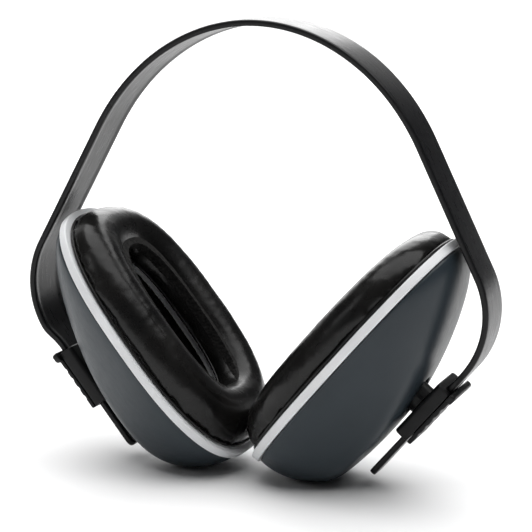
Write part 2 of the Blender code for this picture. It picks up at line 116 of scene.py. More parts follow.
floor_mesh = bpy.data.meshes.new("floor")
floor_corners = [(-FLOOR_HALF, -FLOOR_HALF, 0), (FLOOR_HALF, -FLOOR_HALF, 0)]
floor_corners += [(FLOOR_HALF, FLOOR_HALF, 0), (-FLOOR_HALF, FLOOR_HALF, 0)]
floor_mesh.from_pydata(floor_corners, [], [(0, 1, 2, 3)])
floor = bpy.data.objects.new("floor", floor_mesh)
bpy.context.scene.collection.objects.link(floor)
floor_tone = (0.9, 0.9, 0.9, 1)
floor_material, *_ = principled("pale_floor", Base_Color=floor_tone, Roughness=0.8, Specular_IOR_Level=0.1)
floor_mesh.materials.append(floor_material)

overhead = bpy.data.lights.new("overhead_soft_light", "SUN")
overhead.energy, overhead.angle = OVERHEAD_POWER, OVERHEAD_SPREAD
overhead_lamp = bpy.data.objects.new("overhead_soft_light", overhead)
bpy.context.scene.collection.objects.link(overhead_lamp)
overhead_lamp.rotation_euler = OVERHEAD_TURN
panel_light("panel_behind_left", (-0.75, 1.5, 0.85), (0, 0, 0.1), (1.3, 1.1), 12)
panel_light("panel_front_left", (-1.2, -1.1, 0.9), (0, 0, 0.08), (0.5, 0.5), 1.6)

world = bpy.data.worlds.new("dim_room")
bpy.context.scene.world = world
world.use_nodes = True
room_nodes, room_links = world.node_tree.nodes, world.node_tree.links
seen = room_nodes.new("ShaderNodeLightPath")
towards = room_nodes.new("ShaderNodeTexCoord")
facing = room_nodes.new("ShaderNodeVectorMath")
facing.operation = "DOT_PRODUCT"
facing.inputs[1].default_value = PALE_DIRECTION
falloff = room_nodes.new("ShaderNodeValToRGB")
dim, pale = falloff.color_ramp.elements
dim.position, pale.position = PALE_FROM, PALE_FULL
dim.color, pale.color = ROOM_DIM, ROOM_PALE
chosen = room_nodes.new("ShaderNodeMixRGB")
chosen.inputs["Color2"].default_value = ROOM_SEEN
room_links.new(towards.outputs["Generated"], facing.inputs[0])
room_links.new(facing.outputs["Value"], falloff.inputs["Fac"])
room_links.new(falloff.outputs["Color"], chosen.inputs["Color1"])
room_links.new(seen.outputs["Is Camera Ray"], chosen.inputs["Fac"])
room_links.new(chosen.outputs["Color"], room_nodes["Background"].inputs["Color"])

# Headband
# One springy moulding of black acetal: a strap that arches over the head, bends in above each cup and
# ends in a straight tail. Its inner face is sunk a little between two rims that stiffen the edges.
MM = 0.001
BAND_THICKNESS = 2.3 * MM
BAND_RIM_DEPTH, BAND_RIM_WIDTH = 0.35 * MM, 1.7 * MM
BAND_EDGE_RADIUS = 0.75 * MM
BAND_CROWNING = 0.12 * MM  # how much prouder the outer face stands along its middle
CROWN_HALF_WIDTH, LEG_HALF_WIDTH, TAIL_HALF_WIDTH = 12.5 * MM, 11.0 * MM, 8.0 * MM
SHOULDER_FROM_END, SHOULDER_LENGTH = 55.0 * MM, 9.4 * MM  # where it narrows to its tail, above the slider
CROWN_ANGLE = math.radians(63.1)
CROWN_RADIUS_APEX, CROWN_RADIUS_END = 57.0 * MM, 88.0 * MM
BEND_RADIUS = 31.5 * MM
TAIL_CORNER = 2.6 * MM
TAIL_END_ROUND, TAIL_END_THICKNESS = 0.6 * MM, 0.35  # its end thins to this share of the strap
CROWN_STEPS, CROWN_KEPT = 1200, 60  # fine steps for the integral, and how many of them become points
NOISE_LOW, NOISE_HIGH = 0.3, 0.7  # the part of a noise's range that a tone is spread over
joints = {joint["name"]: joint for joint in frame["joints"]}


def mesh_points(mesh):
    """All the vertices of a mesh, as an array."""
    points = np.empty(len(mesh.vertices) * 3, np.float32)
    mesh.vertices.foreach_get("co", points)
    return points.reshape(-1, 3).astype(float)


def node_points(node):
    """All the vertices of a CAD node, as an array."""
    return mesh_points(frame["nodes"][node].data)


def side_frame(side):
    """Origin and outward, across and up directions of a cup's rim, from its joints and its seal plate.

    The origin is where the plane of the rim meets the cup's long axis halfway along the seal plate.
    """
    out = np.array(joints[f"{side}_cup_swivel"]["axis"], float)
    up = -np.array(joints[f"{side}_height_slide"]["axis"], float)
    across = np.cross(up, out)
    ring = node_points(f"seal_plate_{side}")
    heights = ring @ up
    origin = out * ((ring @ out).max() + 0.3 * MM) + up * (heights.max() + heights.min()) / 2
    return origin, out, across, up


def extent(node, side):
    """Lowest and highest (out, across, up) of a CAD node in its side's frame."""
    origin, *axes = side_frame(side)
    local = (node_points(node) - origin) @ np.array(axes).T
    return local.min(0), local.max(0)


def to_row(local, side):
    """Points given as (out, across, up) in a side's frame, in the row's frame."""
    origin, *axes = side_frame(side)
    return origin + np.asarray(local) @ np.array(axes)


def surface(name, points, wrap=(True, True), merge=2e-6):
    """A mesh object over a grid of points [row, column, xyz]: one quad for each cell of the grid.

    wrap says whether the last row joins the first, and the last column the first. Points that fall
    together, as at a pole, are merged, and the faces are turned to point outwards.
    """
    rows, columns = points.shape[:2]
    index = np.arange(rows * columns).reshape(rows, columns)
    low = index if wrap[0] else index[:-1]
    high = np.roll(index, -1, 0) if wrap[0] else index[1:]
    if wrap[1]:
        quads = np.stack([low, np.roll(low, -1, 1), np.roll(high, -1, 1), high], -1)
    else:
        quads = np.stack([low[:, :-1], low[:, 1:], high[:, 1:], high[:, :-1]], -1)
    mesh = bpy.data.meshes.new(name)
    mesh.from_pydata(points.reshape(-1, 3).tolist(), [], quads.reshape(-1, 4).tolist())
    bm = bmesh.new()
    bm.from_mesh(mesh)
    bmesh.ops.remove_doubles(bm, verts=bm.verts, dist=merge)
    bmesh.ops.recalc_face_normals(bm, faces=bm.faces)
    bm.to_mesh(mesh)
    bm.free()
    mesh.shade_smooth()
    made = bpy.data.objects.new(name, mesh)
    bpy.context.scene.collection.objects.link(made)
    return made


def noise_bump(nodes, links, shader, scale, strength, distance, detail=3.0):
    """Fine surface relief: a noise on Object coordinates, which it returns, into the shader's normal."""
    place = nodes.new("ShaderNodeTexCoord")
    noise = nodes.new("ShaderNodeTexNoise")
    noise.inputs["Scale"].default_value = scale
    noise.inputs["Detail"].default_value = detail
    bump = nodes.new("ShaderNodeBump")
    bump.inputs["Strength"].default_value = strength
    bump.inputs["Distance"].default_value = distance
    links.new(place.outputs["Object"], noise.inputs["Vector"])
    links.new(noise.outputs["Fac"], bump.inputs["Height"])
    links.new(bump.outputs["Normal"], shader.inputs["Normal"])
    return place


def varied(nodes, links, place, scale, low, high, socket, detail=4.0, colour=False, stretch=(1, 1, 1)):
    """Variation of a socket: a noise on Object coordinates, stretched along its axes, run through a ramp."""
    noise = nodes.new("ShaderNodeTexNoise")
    noise.inputs["Scale"].default_value = scale
    noise.inputs["Detail"].default_value = detail
    mapping = nodes.new("ShaderNodeMapping")
    mapping.inputs["Scale"].default_value = stretch
    links.new(place.outputs["Object"], mapping.inputs["Vector"])
    links.new(mapping.outputs["Vector"], noise.inputs["Vector"])
    if colour:
        ramp = nodes.new("ShaderNodeValToRGB")
        first, last = ramp.color_ramp.elements
        first.position, last.position = NOISE_LOW, NOISE_HIGH
        first.color, last.color = (*low, 1), (*high, 1)
        links.new(noise.outputs["Fac"], ramp.inputs["Fac"])
        links.new(ramp.outputs["Color"], socket)
        return ramp
    spread = nodes.new("ShaderNodeMapRange")
    spread.inputs["From Min"].default_value, spread.inputs["From Max"].default_value = NOISE_LOW, NOISE_HIGH
    spread.inputs["To Min"].default_value, spread.inputs["To Max"].default_value = low, high
    links.new(noise.outputs["Fac"], spread.inputs["Value"])
    links.new(spread.outputs["Result"], socket)
    return spread


def edge_wear_and_highlight(nodes, links, colour, wear_and_highlight_colour, amount, shader):
    """A paler tone on the convex edges, partly rubbed wear and partly a painted highlight: pointiness mixes
    it over the colour.
    """
    edge = nodes.new("ShaderNodeNewGeometry")
    wear_and_highlight_share = nodes.new("ShaderNodeMapRange")
    wear_and_highlight_share.inputs["From Min"].default_value, wear_and_highlight_share.inputs["From Max"].default_value = 0.52, 0.60
    wear_and_highlight_share.inputs["To Max"].default_value = amount
    links.new(edge.outputs["Pointiness"], wear_and_highlight_share.inputs["Value"])
    lighter = nodes.new("ShaderNodeMixRGB")
    lighter.inputs["Color2"].default_value = (*wear_and_highlight_colour, 1)
    links.new(wear_and_highlight_share.outputs["Result"], lighter.inputs["Fac"])
    links.new(colour, lighter.inputs["Color1"])
    links.new(lighter.outputs["Color"], shader.inputs["Base Color"])


def moulded_black(name, low, high, roughness, grain=5200):
    """Black moulded plastic: a near-black that drifts, paler edges that are partly rubbed wear and partly a
    painted highlight, an uneven satin and a fine grain.
    """
    made, nodes, links, shader = principled(name, Specular_IOR_Level=0.22)
    place = noise_bump(nodes, links, shader, grain, 0.12, 0.00006)
    tone = varied(nodes, links, place, 90, low, high, shader.inputs["Base Color"], colour=True)
    # Painted highlight with some real wear: a paler tone mixed into the convex edges of the black plastic.
    edge_wear_and_highlight(nodes, links, tone.outputs["Color"], (0.030, 0.030, 0.031), 0.4, shader)
    satin = shader.inputs["Roughness"]
    varied(nodes, links, place, 170, roughness - 0.05, roughness + 0.06, satin, stretch=(1, 6, 1))
    return made


def band_path():
    """Points along the right half of the strap's middle line, with the strap's outward normal at each.

    The crown's heading is the integral of a curvature that falls evenly along it. The leg is straight, the
    bend is an arc of one radius, and the tail is straight along the cup's long axis.
    """
    origin, out, _, up = side_frame("right")
    tight, slack = 1 / CROWN_RADIUS_APEX, 1 / CROWN_RADIUS_END
    crown_length = 2 * CROWN_ANGLE / (tight + slack)
    s = (np.arange(CROWN_STEPS) + 0.5) * crown_length / CROWN_STEPS
    heading = tight * s + (slack - tight) * s * s / (2 * crown_length)
    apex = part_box("headband_right")[1].z - BAND_THICKNESS / 2
    moves = np.stack([np.cos(heading), 0 * s, -np.sin(heading)], 1) * crown_length / CROWN_STEPS
    crown = np.vstack([[0, 0, apex], [0, 0, apex] + np.cumsum(moves, 0)])[:: CROWN_STEPS // CROWN_KEPT]
    crown_heading = np.linspace(0, crown_length, len(crown))
    crown_heading = tight * crown_heading + (slack - tight) * crown_heading**2 / (2 * crown_length)
    leg = np.array([math.cos(CROWN_ANGLE), 0, -math.sin(CROWN_ANGLE)])
    tail_low, _ = extent("headband_right", "right")
    tail = node_points("headband_right") - origin
    lowest = tail @ up < (tail @ up).min() + 1.5 * MM
    tail_out = ((tail @ out)[lowest].max() + (tail @ out)[lowest].min()) / 2
    to_tail = (tail_out - (crown[-1] - origin) @ out) / (leg @ out)
    turn = math.acos(-leg @ up)
    tangent = BEND_RADIUS * math.tan(turn / 2)
    bend_start = crown[-1] + leg * (to_tail - tangent)
    inwards = np.array([-math.sin(CROWN_ANGLE), 0, -math.cos(CROWN_ANGLE)])
    centre = bend_start + inwards * BEND_RADIUS
    bend_angle = np.linspace(0, turn, 33)[:, None]
    bend = centre + BEND_RADIUS * (np.sin(bend_angle) * leg - np.cos(bend_angle) * inwards)
    leg_points = crown[-1] + np.linspace(0, 1, 18)[1:-1, None] * (bend_start - crown[-1])
    end = origin + out * tail_out + up * tail_low[2]
    share = 1 - (1 - np.linspace(0, 1, 36)[1:, None]) ** 2
    tail_points = bend[-1] + share * (end - bend[-1])
    path = np.vstack([crown, leg_points, bend, tail_points])
    angle = np.concatenate([
        crown_heading, np.full(len(leg_points), CROWN_ANGLE),
        CROWN_ANGLE + bend_angle[:, 0], np.full(len(tail_points), CROWN_ANGLE + turn),
    ])
    normal = np.stack([np.sin(angle), 0 * angle, np.cos(angle)], 1)
    return path, normal, crown_length


def band_profile():
    """The strap's section, with a crowned outer face and round edges, as rows of three numbers.

    They are a share of the half width, an amount in metres added to it, and the height over the middle line.
    """
    half, r = BAND_THICKNESS / 2, BAND_EDGE_RADIUS
    arc = np.linspace(0, math.pi / 2, 5)
    outer = np.linspace(-1, 1, 15)
    inner = np.linspace(1, -1, 21)
    top = np.stack([outer, -r * outer, half + BAND_CROWNING * (1 - outer**2)], 1)
    right_top = np.stack([1 + 0 * arc, -r + r * np.sin(arc), half - r + r * np.cos(arc)], 1)[1:]
    right_low = np.stack([1 + 0 * arc, -r + r * np.cos(arc), -half + r - r * np.sin(arc)], 1)
    left_low = np.stack([-1 + 0 * arc, r - r * np.sin(arc), -half + r - r * np.cos(arc)], 1)[1:]
    left_top = np.stack([-1 + 0 * arc, r - r * np.cos(arc), half - r + r * np.sin(arc)], 1)[:-1]
    bottom = np.stack([inner, -r * inner, -half + 0 * inner], 1)
    return top, right_top, right_low, bottom[1:-1], left_low, left_top


def make_headband():
    """The section carried along the path: mirrored for the left half, and drawn in round each tail's end."""
    path, normal, crown_length = band_path()
    path = np.vstack([(path * [-1, 1, 1])[:0:-1], path])
    normal = np.vstack([(normal * [-1, 1, 1])[:0:-1], normal])
    length = np.concatenate([[0], np.cumsum(np.linalg.norm(np.diff(path, axis=0), axis=1))])
    from_apex = np.abs(length - length[-1] / 2)
    share = np.clip(from_apex / crown_length, 0, 1)
    half_width = CROWN_HALF_WIDTH + (LEG_HALF_WIDTH - CROWN_HALF_WIDTH) * share
    to_end = np.minimum(length, length[-1] - length)
    down = np.clip((SHOULDER_FROM_END - to_end) / SHOULDER_LENGTH, 0, 1)
    half_width += (TAIL_HALF_WIDTH - half_width) * down * down * (3 - 2 * down)
    in_corner = np.clip(to_end, 0, TAIL_CORNER)
    half_width = half_width - TAIL_CORNER + np.sqrt(TAIL_CORNER**2 - (TAIL_CORNER - in_corner) ** 2)
    profile = np.vstack(band_profile())
    across = profile[:, 0] * half_width[:, None] + profile[:, 1]
    rim = np.clip((half_width[:, None] - np.abs(across)) / BAND_RIM_WIDTH - 1, 0, 1)
    sunk = BAND_RIM_DEPTH * rim * rim * (3 - 2 * rim) * (profile[:, 2] <= -BAND_THICKNESS / 2 + 1e-9)
    height = profile[:, 2] + sunk
    rounded = np.sqrt(1 - (1 - np.clip(to_end / TAIL_END_ROUND, 0, 1)) ** 2)
    height = height * (TAIL_END_THICKNESS + (1 - TAIL_END_THICKNESS) * rounded)[:, None]
    points = path[:, None, :] + normal[:, None, :] * height[..., None]
    points[..., 1] += across
    ends = [np.broadcast_to(points[i].mean(0), points[i].shape)[None] for i in (0, -1)]
    return surface("headband", np.vstack([ends[0], points, ends[1]]), wrap=(False, True))


headband = make_headband()
band_material = moulded_black("black_band_acetal", (0.0045, 0.0045, 0.005), (0.008, 0.008, 0.0085), 0.30)
headband.data.materials.append(band_material)
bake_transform(headband)
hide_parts("headband_left", "headband_right")

# Height sliders
# Two black nylon mouldings clip round each tail: a channel on the cup's side and a cover over it, which
# carries the finger lip and a few grip ribs. They grip the strap and slide along it by hand.
SLIDER_CORNER = 0.6 * MM
CHANNEL_CORNER, CHANNEL_END = 1.6 * MM, 0.5 * MM
PLATE_CORNER, SMALL_CORNER = 0.8 * MM, 0.3 * MM
GRIP_DEPTH, GRIP_COUNT, GRIP_FROM_TOP = 0.32 * MM, 5, 4.5 * MM
LIP_SPREAD, LIP_RISE = 1.6 * MM, 0.8 * MM
LIP_FROM_TOP, LIP_HALF_HEIGHT = 1.8 * MM, 1.9 * MM
SLOT_CLEARANCE = 0.3 * MM
STRAIGHT_TAIL = 12.0 * MM  # the strap is its plain tail from this far under the channel's top


def rounded_loop(corners, radii, steps=5):
    """A closed loop of points round a polygon, with an arc of the given radius in place of each corner.

    Each arc is tangent to both sides: it starts r / tan(half the corner's angle) before the corner, and
    its points are spread evenly in angle between the two normals.
    """
    corners, radii = np.asarray(corners, float), np.asarray(radii, float)[:, None]
    back = np.roll(corners, 1, 0) - corners
    ahead = np.roll(corners, -1, 0) - corners
    back /= np.linalg.norm(back, axis=1, keepdims=True)
    ahead /= np.linalg.norm(ahead, axis=1, keepdims=True)
    half = np.arccos(np.clip((back * ahead).sum(1), -1, 1))[:, None] / 2
    middle = (back + ahead) / np.linalg.norm(back + ahead, axis=1, keepdims=True)
    centre = corners + middle * radii / np.sin(half)
    start = corners + back * radii / np.tan(half) - centre
    end = corners + ahead * radii / np.tan(half) - centre
    turn = math.pi / 2 - half
    share = np.linspace(-1, 1, steps)[None, :, None]
    away = -middle[:, None] * radii[:, None] * np.cos(share * turn[:, None])
    chord = (end - start) / np.maximum(np.linalg.norm(end - start, axis=1, keepdims=True), 1e-12)
    along = chord[:, None] * radii[:, None] * np.sin(share * turn[:, None])
    return (centre[:, None] + away + along).reshape(-1, 2)


def loft_up(name, loop, bottom, top, side, edge, closed=True, bulge=None):
    """A section (out, across) carried from bottom to top; at both ends it draws in along a quarter circle.

    bulge, if given, takes the heights and returns how far the section's outer half stands out there, and how
    much wider it is. A closed piece gets a point at the middle of each end; an open one is left for a cap.
    """
    arc = np.linspace(0, math.pi / 2, 5)
    straight = np.linspace(bottom + edge, top - edge, 90)[1:-1]
    heights = np.concatenate([bottom + edge * (1 - np.cos(arc)), straight, top - edge + edge * np.sin(arc)])
    drawn = np.concatenate([edge * (1 - np.sin(arc)), 0 * straight, edge * (1 - np.cos(arc))])
    middle = (loop.max(0) + loop.min(0)) / 2
    size = (loop.max(0) - loop.min(0)) / 2
    shares = (loop - middle) / size
    local = np.empty((len(heights), len(loop), 3))
    local[..., :2] = middle + shares * (size - drawn[:, None])[:, None, :]
    if bulge is not None:
        stand_out, widen = bulge(heights)
        local[..., 0] += stand_out[:, None] * np.clip(shares[:, 0], 0, 1) ** 0.5
        local[..., 1] += widen[:, None] * shares[:, 1]
    local[..., 2] = heights[:, None]
    if closed:
        first, last = local[:1].mean(1, keepdims=True), local[-1:].mean(1, keepdims=True)
        ends = [np.broadcast_to(point, local[:1].shape) for point in (first, last)]
        local = np.concatenate([ends[0], local, ends[1]])
    return surface(name, to_row(local, side), wrap=(False, True))


def close_ends(made):
    """Fills the open ends of a lofted piece with triangulated faces."""
    bm = bmesh.new()
    bm.from_mesh(made.data)
    filled = bmesh.ops.holes_fill(bm, edges=[e for e in bm.edges if e.is_boundary], sides=0)["faces"]
    bmesh.ops.triangulate(bm, faces=filled, ngon_method="EAR_CLIP")
    bmesh.ops.recalc_face_normals(bm, faces=bm.faces)
    bm.to_mesh(made.data)
    bm.free()
    made.data.set_sharp_from_angle(angle=math.radians(38))


def slider_channel(side):
    """A U section in (out, across), carried up the tail with its ends rounded in."""
    low, high = extent(f"slider_sleeve_{side}", side)
    origin, *axes = side_frame(side)
    tail = (node_points(f"headband_{side}") - origin) @ np.array(axes).T
    tail = tail[tail[:, 2] < high[2] - STRAIGHT_TAIL]
    half_slot = tail[:, 1].max() + SLOT_CLEARANCE
    slot_floor = tail[:, 0].min() - SLOT_CLEARANCE
    half = high[1]
    corners = [
        (low[0], -half), (low[0], half), (high[0], half), (high[0], half_slot),
        (slot_floor, half_slot), (slot_floor, -half_slot), (high[0], -half_slot), (high[0], -half),
    ]
    loop = rounded_loop(corners, [CHANNEL_CORNER] * 2 + [SMALL_CORNER] * 6)
    made = loft_up(f"slider_channel_{side}", loop, low[2], high[2], side, CHANNEL_END, closed=False)
    close_ends(made)
    return made


def slider_plate(side):
    """The cover: a rounded plate whose outer face rises in grip ribs and spreads into the finger lip."""
    low, high = extent(f"slider_cover_{side}", side)
    body_out = high[0] - LIP_RISE
    half = high[1] - LIP_SPREAD
    corners = [(low[0], -half), (low[0], half), (body_out, half), (body_out, -half)]
    loop = rounded_loop(corners, [SMALL_CORNER] * 2 + [PLATE_CORNER] * 2)
    face_start = 3 * len(loop) // 4  # the outer face runs between the last two corners' arcs
    across_face = np.linspace(0, 1, 24)[1:-1, None]
    outer = loop[face_start - 1] + across_face * (loop[face_start] - loop[face_start - 1])
    loop = np.vstack([loop[:face_start], outer, loop[face_start:]])

    def bulge(heights):
        from_lip = (heights - (high[2] - LIP_FROM_TOP)) / LIP_HALF_HEIGHT
        lip = np.clip(1 - np.abs(from_lip) ** 4, 0, 1) ** 0.5
        grip = np.clip((heights - low[2]) / (high[2] - GRIP_FROM_TOP - low[2]), 0, 1)
        ribs = np.clip(np.sin(grip * GRIP_COUNT * 2 * math.pi), 0, 1) ** 0.7 * (grip > 0.2) * (grip < 1)
        return LIP_RISE * lip - GRIP_DEPTH * ribs, LIP_SPREAD * lip

    return loft_up(f"slider_cover_piece_{side}", loop, low[2], high[2], side, SLIDER_CORNER, bulge=bulge)


slider_material = moulded_black(
    "black_slider_nylon", (0.004, 0.004, 0.0045), (0.007, 0.007, 0.0075), 0.42, grain=4200,
)
for side in ("left", "right"):
    channel = slider_channel(side)
    cover = slider_plate(side)
    for piece, node in ((channel, f"slider_sleeve_{side}"), (cover, f"slider_cover_{side}")):
        piece.data.materials.append(slider_material)
        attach(piece, f"{side}_slider")
        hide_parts(node)

# Swivel hubs and tilt pins
# A black nylon stem stands in the pocket of each cup, with a neck that snaps through the slider. A ground
# steel pin, polished where it turns, crosses the pocket and passes through the stem's eye.
def ground_steel():
    """Bright steel, with fine grinding marks and a sheen that varies a little."""
    made, nodes, links, shader = principled("ground_steel", Metallic=1.0)
    place = noise_bump(nodes, links, shader, 3000, 0.15, 0.00002)
    colour = shader.inputs["Base Color"]
    varied(nodes, links, place, 500, (0.42, 0.42, 0.43), (0.52, 0.52, 0.53), colour, colour=True)
    varied(nodes, links, place, 900, 0.22, 0.36, shader.inputs["Roughness"])
    return made


hub_material = moulded_black("black_hub_nylon", (0.005, 0.005, 0.0055), (0.009, 0.009, 0.0095), 0.38)
pin_material = ground_steel()
for side in ("left", "right"):
    frame["nodes"][f"swivel_hub_{side}"].material_slots[0].material = hub_material
    frame["nodes"][f"pivot_pin_{side}"].material_slots[0].material = pin_material

# Ear cups
# Each cup is one hollow moulding of slate blue ABS with a fine spark-eroded grain. It is a mound with a soft
# ridge round its small outer face, a round pocket there for the hub, and a boss inside that backs the pocket.
CUP_HALF_LENGTH, CUP_HALF_WIDTH = 53.2 * MM, 36.6 * MM
CUP_DEPTH, CUP_CROWN, CUP_WALL = 24.2 * MM, 2.0 * MM, 2.5 * MM
CUP_RIDGE = 3.4 * MM  # how far from the ridge the face and the wall start to run together
CUP_COLUMNS = 192
CUP_TOP_DRAW, CUP_TOP_HEIGHT, CUP_TOP_POWER = 41.4 * MM, 23.4 * MM, 1.75
CUP_LOW_DRAW, CUP_LOW_HEIGHT, CUP_LOW_POWER = 14.0 * MM, 24.5 * MM, 2.2
CUP_SIDE_DRAW, CUP_SIDE_POWER = 17.2 * MM, 1.15
CUP_CORNER_POWER, CUP_CORNER_GAIN = 2.5, 0.5  # the outline's power at the rim, and its gain at the face
CUP_SEARCH_TOP, CUP_HALVINGS = 31.5 * MM, 34
CUP_ROWS_START = 7.0 * MM  # the height at which the rows stop following the outline and close on the pocket
PIVOT_UP = 3.0 * MM
POCKET_RADIUS, POCKET_LIP, POCKET_FLOOR = 7.4 * MM, 0.9 * MM, 13.4 * MM
BOSS_RADIUS, BOSS_FLOOR = 11.4 * MM, 11.4 * MM


def superellipse(half_length, half_width, power, columns, centre=0.0, offset=0.5):
    """(across, up) points where |up / half_length|^power + |across / half_width|^power = 1.

    They are spread evenly over the angle that cos^(2 / power) and sin^(2 / power) take.
    """
    angle = 2 * math.pi * (np.arange(columns) + offset) / columns
    c, s = np.cos(angle), np.sin(angle)
    power = np.asarray(power)
    up = centre + half_length * np.sign(c) * np.abs(c) ** (2 / power)
    across = half_width * np.sign(s) * np.abs(s) ** (2 / power)
    return across, up


def cup_measures(height):
    """Half length, half width, centre and power of the cup's outline at a height over the rim.

    The top end draws in as the height to 1.75, the bottom end as its 2.2 and the sides as its 1.15.
    """
    height = np.maximum(height, 0)
    upper = CUP_HALF_LENGTH - CUP_TOP_DRAW * (height / CUP_TOP_HEIGHT) ** CUP_TOP_POWER
    lower = -CUP_HALF_LENGTH + CUP_LOW_DRAW * (height / CUP_LOW_HEIGHT) ** CUP_LOW_POWER
    half_width = CUP_HALF_WIDTH - CUP_SIDE_DRAW * (height / CUP_DEPTH) ** CUP_SIDE_POWER
    power = CUP_CORNER_POWER + CUP_CORNER_GAIN * height / CUP_DEPTH
    return (upper - lower) / 2, half_width, (upper + lower) / 2, power


def cup_height(across, up):
    """How high the cup's outside stands over each point of its rim plane.

    The wall's height there is the one whose outline passes through the point, found by halving. The face
    is a shallow crown. The surface is the lower of the two, run together where they come within CUP_RIDGE.
    """
    low, high = np.zeros_like(across), np.full_like(across, CUP_SEARCH_TOP)
    for _ in range(CUP_HALVINGS):
        middle = (low + high) / 2
        length, width, centre, power = cup_measures(middle)
        outside = np.abs((up - centre) / length) ** power + np.abs(across / width) ** power > 1
        high, low = np.where(outside, middle, high), np.where(outside, low, middle)
    wall = (low + high) / 2
    length, width, centre, _ = cup_measures(np.float64(CUP_DEPTH))
    face = CUP_DEPTH + CUP_CROWN * (1 - ((up - centre) / length) ** 2 - (across / width) ** 2 * 0.8)
    blend = np.clip(0.5 + 0.5 * (wall - face) / CUP_RIDGE, 0, 1)
    return wall + (face - wall) * blend - CUP_RIDGE * blend * (1 - blend)


def circle_round_pivot(radius, columns, offset=0.5):
    """(across, up) points on a circle round the pocket's centre."""
    return superellipse(radius, radius, 2.0, columns, PIVOT_UP, offset)


def cup_rows():
    """The cup's whole skin in the side frame, row by row, from the pocket's floor to the boss inside.

    Between the wall's lower half and the pocket, each row is a mix of the outline and the pocket's circle,
    and stands at the height of the cup there. The pocket's mouth is rounded over a quarter circle.
    """
    rows = []

    def add(across, up, height):
        rows.append(np.stack([np.broadcast_to(height, across.shape), across, up], -1))

    for share in (0.0, 0.5, 0.93):
        add(*circle_round_pivot(POCKET_RADIUS * share, CUP_COLUMNS), POCKET_FLOOR)
    add(*circle_round_pivot(POCKET_RADIUS, CUP_COLUMNS), POCKET_FLOOR + 0.5 * MM)
    mouth = circle_round_pivot(POCKET_RADIUS + POCKET_LIP, CUP_COLUMNS)
    mouth_height = cup_height(*mouth)
    for share in (0.35, 0.7, 1.0):
        height = POCKET_FLOOR + 0.5 * MM + (mouth_height - POCKET_LIP - POCKET_FLOOR - 0.5 * MM) * share
        add(*circle_round_pivot(POCKET_RADIUS, CUP_COLUMNS), height)
    for angle in np.linspace(0, math.pi / 2, 6)[1:]:
        radius = POCKET_RADIUS + POCKET_LIP * (1 - math.cos(angle))
        add(*circle_round_pivot(radius, CUP_COLUMNS), mouth_height - POCKET_LIP * (1 - math.sin(angle)))
    start = CUP_ROWS_START
    length, width, centre, power = cup_measures(start)
    outline = superellipse(length, width, power, CUP_COLUMNS, centre)
    for share in np.linspace(0, 1, 64)[1:]:
        across = mouth[0] + (outline[0] - mouth[0]) * share
        up = mouth[1] + (outline[1] - mouth[1]) * share
        add(across, up, cup_height(across, up))
    for height in np.linspace(start, 0.5 * MM, 16)[1:]:
        length, width, centre, power = cup_measures(height)
        add(*superellipse(length, width, power, CUP_COLUMNS, centre), height)
    for inset, height in ((0.15, 0.15), (0.5, 0.0), (CUP_WALL / MM - 0.3, 0.0), (CUP_WALL / MM, 0.3)):
        length, width, centre, power = cup_measures(0.0)
        add(*superellipse(length - inset * MM, width - inset * MM, power, CUP_COLUMNS, centre), height * MM)
    for height in np.linspace(1.5 * MM, start, 6):
        length, width, centre, power = cup_measures(height)
        add(*superellipse(length - CUP_WALL, width - CUP_WALL, power, CUP_COLUMNS, centre), height)
    boss = circle_round_pivot(BOSS_RADIUS, CUP_COLUMNS)
    inside = rows[-1]
    for share in np.linspace(0, 1, 24)[1:]:
        across = inside[:, 1] + (boss[0] - inside[:, 1]) * share
        up = inside[:, 2] + (boss[1] - inside[:, 2]) * share
        drop = cup_height(across, up) - CUP_WALL
        rows.append(np.stack([np.maximum(start + (drop - start) * min(1, share * 4), start), across, up], -1))
    add(*boss, BOSS_FLOOR + 0.3 * MM)
    for share in (0.96, 0.5, 0.0):
        add(*circle_round_pivot(BOSS_RADIUS * share, CUP_COLUMNS), BOSS_FLOOR)
    return np.array(rows)


def slate_plastic():
    """Slate blue plastic: slow drift in colour, a fine moulded grain, faint rub marks that run long, and a
    painted highlight along its convex edges.
    """
    made, nodes, links, shader = principled("slate_blue_abs", Specular_IOR_Level=0.32)
    place = noise_bump(nodes, links, shader, 3600, 0.22, 0.00007, detail=4)
    low, high = (0.0170, 0.0240, 0.0300), (0.0235, 0.0320, 0.0390)
    tone = varied(nodes, links, place, 38, low, high, shader.inputs["Base Color"], colour=True)
    varied(nodes, links, place, 260, 0.33, 0.44, shader.inputs["Roughness"], stretch=(1, 5, 1))
    # Painted highlight: a paler slate mixed into the convex edges draws the light line along the soft ridge
    # round the outer face.
    edge_wear_and_highlight(nodes, links, tone.outputs["Color"], (0.075, 0.083, 0.094), 0.35, shader)
    return made


cup_material = slate_plastic()
cup_skin = cup_rows()
for side in ("left", "right"):
    cup = surface(f"ear_cup_{side}", to_row(cup_skin, side), wrap=(False, True), merge=1e-6)
    cup.data.set_sharp_from_angle(angle=math.radians(50))
    cup.data.materials.append(cup_material)
    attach(cup, f"{side}_cup")
    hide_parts(f"cup_shell_{side}")

